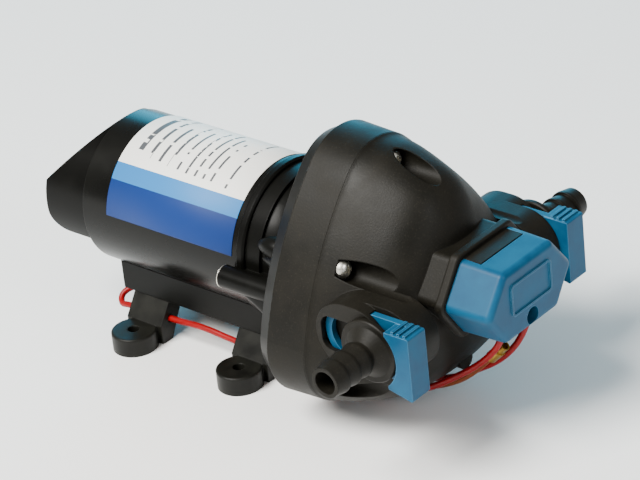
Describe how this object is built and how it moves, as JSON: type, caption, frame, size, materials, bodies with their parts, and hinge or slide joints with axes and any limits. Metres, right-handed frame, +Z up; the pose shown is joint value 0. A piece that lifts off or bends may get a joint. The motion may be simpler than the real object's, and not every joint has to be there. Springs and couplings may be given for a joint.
{
  "type": "caravan water pump",
  "caption": "Diaphragm water pump with a round motor, a domed three-cornered head, clip-in hose barbs, a pressure switch and rubber feet.",
  "frame": {"origin": "centre of the four mounting holes, on the surface that the feet stand on", "axes": "+X along the motor's axis from the motor to the pressure switch, +Z up, inlet towards -Y"},
  "size_m": [0.2235, 0.1564, 0.1109],
  "materials": {
    "can_paint": "gloss",
    "label_film": "satin",
    "gloss_black_plastic": "gloss",
    "matte_black_plastic": "moulded grain",
    "blue_plastic": "satin",
    "bright_steel": "zinc plated",
    "machined_steel": "machined",
    "ferrite": "sintered",
    "copper": "enamelled wire",
    "brass": "pressed",
    "carbon": "pressed carbon",
    "foot_rubber": "moulded",
    "seal_rubber": "moulded",
    "red_pvc": "extruded",
    "brown_pvc": "extruded",
    "switch_plastic": "moulded"
  },
  "bodies": {
    "pump_body": {"brown_lead": "brown_pvc", "brush_holders": "brass", "brush_plate": "matte_black_plastic", "brush_springs": "machined_steel", "carbon_brushes": "carbon", "cover_screw": "bright_steel", "crimp_terminal": "brass", "diaphragm": "seal_rubber", "diaphragm_housing": "matte_black_plastic", "field_magnets": "ferrite", "foot_front_left": "foot_rubber", "foot_front_right": "foot_rubber", "foot_rear_left": "foot_rubber", "foot_rear_right": "foot_rubber", "front_bearing_outer": "machined_steel", "front_housing": "gloss_black_plastic", "head_cover": "matte_black_plastic", "head_screws": "bright_steel", "housing_screws": "bright_steel", "inlet_valves": "seal_rubber", "lead_grommet": "seal_rubber", "microswitch": "switch_plastic", "microswitch_terminals": "brass", "motor_can": "can_paint", "motor_label": "label_film", "mounting_base": "gloss_black_plastic", "outlet_valve": "seal_rubber", "rear_bush": "brass", "rear_hood": "gloss_black_plastic", "rear_plate": "machined_steel", "red_motor_lead": "red_pvc", "red_supply_lead": "red_pvc", "switch_base": "matte_black_plastic", "switch_cover": "blue_plastic", "switch_diaphragm": "seal_rubber", "switch_screws": "bright_steel", "switch_spring": "machined_steel", "valve_plate": "matte_black_plastic", "valve_seal": "seal_rubber"},
    "rotor": {"motor_shaft": "machined_steel", "armature_core": "machined_steel", "armature_winding": "copper", "commutator": "copper", "front_bearing_inner": "machined_steel", "front_bearing_balls": "machined_steel", "wobble_cam": "machined_steel", "wobble_bearing": "machined_steel"},
    "wobble": {"wobble_plate": "matte_black_plastic", "pistons": "matte_black_plastic", "piston_screws": "bright_steel"},
    "inlet_barb": {"inlet_barb": "matte_black_plastic", "inlet_barb_seals": "seal_rubber"},
    "outlet_barb": {"outlet_barb": "matte_black_plastic", "outlet_barb_seals": "seal_rubber"},
    "inlet_clip": {"inlet_clip": "blue_plastic"},
    "outlet_clip": {"outlet_clip": "blue_plastic"},
    "switch_plunger": {"switch_plunger": "switch_plastic"},
    "microswitch_button": {"microswitch_button": "switch_plastic"},
    "spring_seat": {"spring_seat": "machined_steel"},
    "adjusting_ring": {"adjusting_ring": "brass"}
  },
  "joints": [
    {"name": "rotor_spin", "type": "hinge", "parent": "pump_body", "child": "rotor", "pos_m": [0, 0, 0.0544], "axis": [1, 0, 0], "continuous": true},
    {"name": "wobble_rock", "type": "hinge", "parent": "pump_body", "child": "wobble", "pos_m": [0.0585, 0, 0.0544], "axis": [0, 1, 0], "range_deg": [-3, 3], "stiffness_Nm_per_rad": 2, "deforming": ["diaphragm"]},
    {"name": "inlet_clip_slide", "type": "slide", "parent": "pump_body", "child": "inlet_clip", "axis": [1, 0, 0], "range_m": [0, 0.012]},
    {"name": "outlet_clip_slide", "type": "slide", "parent": "pump_body", "child": "outlet_clip", "axis": [1, 0, 0], "range_m": [0, 0.012]},
    {"name": "inlet_barb_turn", "type": "hinge", "parent": "pump_body", "child": "inlet_barb", "pos_m": [0.116, -0.0443, 0.0536], "axis": [0, 1, 0], "continuous": true},
    {"name": "outlet_barb_turn", "type": "hinge", "parent": "pump_body", "child": "outlet_barb", "pos_m": [0.116, 0.0443, 0.0536], "axis": [0, 1, 0], "continuous": true},
    {"name": "plunger_slide", "type": "slide", "parent": "pump_body", "child": "switch_plunger", "axis": [1, 0, 0], "range_m": [0, 0.001], "stiffness_N_per_m": 2000, "deforming": ["switch_spring"]},
    {"name": "button_slide", "type": "slide", "parent": "pump_body", "child": "microswitch_button", "axis": [1, 0, 0], "range_m": [0, 0.001]},
    {"name": "seat_slide", "type": "slide", "parent": "pump_body", "child": "spring_seat", "axis": [1, 0, 0], "range_m": [-0.00071, 0.00071], "deforming": ["switch_spring"]},
    {"name": "adjusting_ring_turn", "type": "hinge", "parent": "spring_seat", "child": "adjusting_ring", "pos_m": [0.141, 0, 0.0631], "axis": [1, 0, 0], "range_deg": [-360, 360]}
  ],
  "couplings": [
    {"joint": "button_slide", "follows": "plunger_slide", "ratio": 1},
    {"joint": "seat_slide", "follows": "adjusting_ring_turn", "m_per_rad": 0.00011141}
  ]
}
